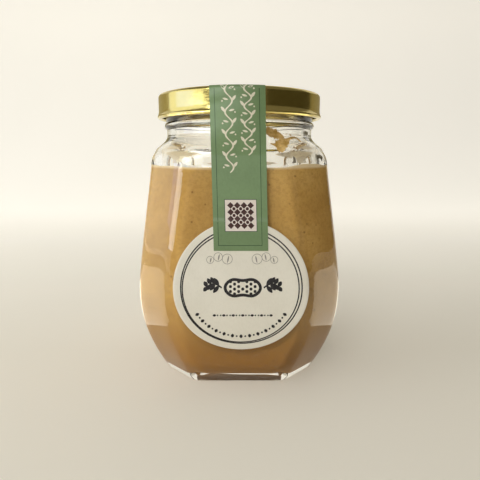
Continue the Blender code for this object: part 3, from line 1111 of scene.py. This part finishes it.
def make_stage(finish):
    """A pale floor that bends up into the backdrop."""
    bend_y = BACKDROP_Y - BACKDROP_BEND
    profile = [(FLOOR_FRONT_Y, 0.0), (bend_y, 0.0)]
    for turn in spread(0.0, pi / 2, 24)[1:]:
        profile.append((bend_y + BACKDROP_BEND * sin(turn), BACKDROP_BEND * (1 - cos(turn))))
    profile.append((BACKDROP_Y, BACKDROP_TOP))
    points = [(x, y, z) for y, z in profile for x in (-FLOOR_HALF, FLOOR_HALF)]
    faces = [(2 * k, 2 * k + 1, 2 * k + 3, 2 * k + 2) for k in range(len(profile) - 1)]
    mesh = bpy.data.meshes.new("backdrop")
    mesh.from_pydata(points, [], faces)
    mesh.shade_smooth()
    mesh.materials.append(finish.material)
    obj = bpy.data.objects.new("backdrop", mesh)
    bpy.context.scene.collection.objects.link(obj)


def make_card(name, turns, heights, glow, seen):
    """A curved card beside the jar, from one turn to another, seen by gloss alone or through the glass."""
    run = spread(*turns, CARD_STEPS)
    points = [toward(turn, CARD_R, z) for z in heights for turn in run]
    count = len(run)
    mesh = bpy.data.meshes.new(name)
    mesh.from_pydata(points, [], [(k, k + 1, count + k + 1, count + k) for k in range(count - 1)])
    mesh.materials.append(card(name, glow).material)
    obj = bpy.data.objects.new(name, mesh)
    obj.visible_camera = False
    obj.visible_glossy = seen == "gloss"
    obj.visible_transmission = seen == "through"
    obj.visible_shadow = False
    obj.visible_diffuse = False
    bpy.context.scene.collection.objects.link(obj)


def toward(turn, distance, height):
    """A place round the jar, turned from straight ahead of it towards its left."""
    return (-distance * sin(radians(turn)), -distance * cos(radians(turn)), height)


def light_studio():
    """A wide soft wall of light at the left, one high in front, and small ones kept to some surfaces."""
    cool, neutral, warm = (0.94, 0.985, 1.0), (1.0, 0.98, 0.95), (1.0, 0.96, 0.88)
    sky, fresh, floor = (0.06, 0.18, 1.0), (0.92, 1.0, 0.86), (1.0, 0.94, 0.78)
    matt, gloss, through = ("matt",), ("gloss",), ("through",)
    above, lid, neck, body, belly = [(0.0, 0.0, z) for z in (0.2, 0.105, 0.09, 0.06, 0.05)]
    edge, beside = (-0.021, -0.038, 0.088), (-0.125, -0.116, 0.088)
    add_soft_light("wall_left", toward(80, 0.8, 0.3), above, (1.0, 0.6), 2.45, cool)
    add_soft_light("side_fill", toward(72, 0.6, 0.2), body, (0.5, 0.35), 0.8, warm, matt)
    add_soft_light("paste_fill", toward(56, 0.42, 0.16), belly, (0.36, 0.25), 1.05, fresh, through)
    add_soft_light("front_top", toward(22, 0.75, 0.62), body, (0.5, 0.3), 2.5, neutral)
    add_soft_light("edge_glow", beside, edge, (0.07, 0.058), 0.07, cool, gloss)
    add_soft_light("lid_glow", toward(77, 0.5, 0.155), lid, (0.27, 0.11), 0.13, sky, gloss)
    add_soft_light("arch_glow", toward(20, 0.6, 0.4), neck, (0.5, 0.3), 2.2, cool, gloss)
    for name, side, power in (("low_left", -1, 0.36), ("low_right", 1, 0.30)):
        x, y, z = side * 0.26, 0.02, 0.0015
        add_soft_light(name, (x, y, z), (x, y, 1.0), (0.4, 0.16), power, floor, gloss)
    world = bpy.data.worlds.new("studio")
    world.use_nodes = True
    background = world.node_tree.nodes["Background"]
    background.inputs["Color"].default_value = rgb(1.0, 0.91, 0.75)
    background.inputs["Strength"].default_value = 0.20
    bpy.context.scene.world = world
    bpy.context.scene.view_settings.view_transform = "Standard"


add_camera()
make_stage(pale_stage())
make_card("dark_card", (-35, -112), (0.03, 0.25), rgb(0.04, 0.03, 0.005), "gloss")
make_card("dim_card_right", (-112, -172), (0.112, 0.25), rgb(0.28, 0.235, 0.12), "gloss")
make_card("dim_card_left", (112, 172), (0.112, 0.25), rgb(0.42, 0.36, 0.19), "gloss")
make_card("pale_card", (40, 150), (0.0, 0.4), rgb(0.92, 0.90, 0.82), "through")
make_card("dark_card_low", (-50, -145), (0.0, 0.1), rgb(0.06, 0.05, 0.03), "through")
light_studio()

paste = nut_paste()
make_glass(clear_glass())
make_filling(paste)
# The smears' paste, which glows a little as painted light.
spread_thin = thin_paste_painted_glow()
make_smear("smear_upper", UPPER_SMEAR, 0.0006, spread_thin)
make_smear("smear_lower", LOWER_SMEAR, 0.0005, spread_thin)
make_smear("smear_tail", TAIL_SMEAR, 0.0003, spread_thin)
make_smear("smear_speck", SPECK_SMEAR, 0.0002, spread_thin)
make_smear("smear_crumb", CRUMB_SMEAR, 0.0002, spread_thin)
make_lid(gold_tinplate())
make_label(paper("white_paper", rgb(0.88, 0.85, 0.755), rgb(0.81, 0.78, 0.685), 0.5))
make_strip(paper("green_paper", rgb(0.188, 0.296, 0.134), rgb(0.152, 0.242, 0.107), 0.36))
make_label_print(
    ink("black_ink", rgb(0.012, 0.01, 0.012), rgb(0.05, 0.045, 0.045)),
    ink("grey_ink", rgb(0.30, 0.28, 0.25), rgb(0.42, 0.40, 0.35)),
)
make_strip_print(
    ink("dark_green_ink", rgb(0.035, 0.075, 0.035), rgb(0.07, 0.14, 0.065)),
    ink("cream_ink", rgb(0.80, 0.76, 0.62), rgb(0.66, 0.66, 0.50)),
    ink("white_ink", rgb(0.84, 0.76, 0.71), rgb(0.76, 0.69, 0.64)),
    ink("brown_ink", rgb(0.05, 0.015, 0.012), rgb(0.12, 0.05, 0.04)),
)
